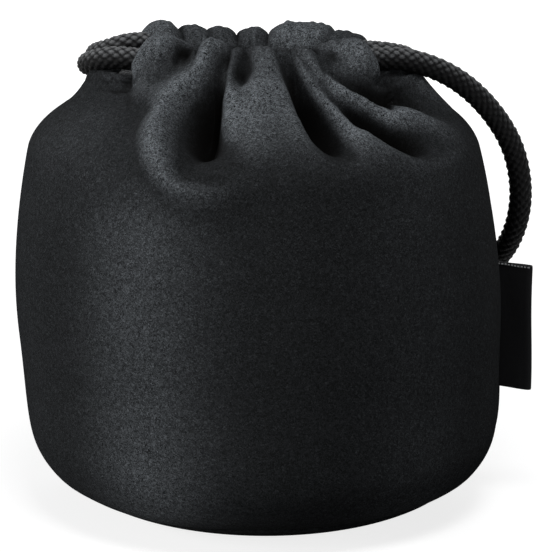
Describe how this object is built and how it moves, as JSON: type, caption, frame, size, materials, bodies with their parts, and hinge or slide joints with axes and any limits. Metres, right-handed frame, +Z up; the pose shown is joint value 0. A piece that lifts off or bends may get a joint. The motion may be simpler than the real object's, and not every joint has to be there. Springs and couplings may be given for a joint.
{
  "type": "lens pouch",
  "caption": "Padded round drawstring pouch of dark suede with a gathered neck, braided drawcords that loop out at both sides and a folded side label.",
  "frame": {"origin": "centre of the flat foot that the pouch stands on", "axes": "+Z up, -Y the pictured front, +X the side with the label"},
  "size_m": [0.103, 0.0997, 0.0963],
  "materials": {
    "suede": "brushed suede with a short nap",
    "padding": "open foam",
    "lining": "smooth knit",
    "cord": "round braid",
    "label": "woven ribbon"
  },
  "bodies": {
    "pouch": {"front_panel": "suede", "back_panel": "suede", "base_panel": "suede", "wall_padding": "padding", "base_padding": "padding", "wall_lining": "lining", "base_lining": "lining", "back_neck": "suede", "left_cord_back_run": "cord", "left_cord_bight": "cord", "left_cord_front_leg": "cord", "left_cord_back_leg": "cord", "right_cord_back_run": "cord", "right_cord_bight": "cord", "right_cord_front_leg": "cord", "right_cord_back_leg": "cord"},
    "front_lip": {"front_neck": "suede", "left_cord_front_run": "cord", "right_cord_front_run": "cord"},
    "label": {"side_label": "label"}
  },
  "joints": [
    {"name": "front_lip_open", "type": "hinge", "parent": "pouch", "child": "front_lip", "pos_m": [0, -0.0385, 0.0788], "axis": [1, 0, 0], "range_deg": [0, 36], "deforming": ["left_cord_front_leg", "right_cord_front_leg", "left_cord_bight", "right_cord_bight"]},
    {"name": "label_fold", "type": "hinge", "parent": "pouch", "child": "label", "pos_m": [0.0479, 0, 0.0356], "axis": [0, 0, 1], "range_deg": [-50, 75]}
  ]
}
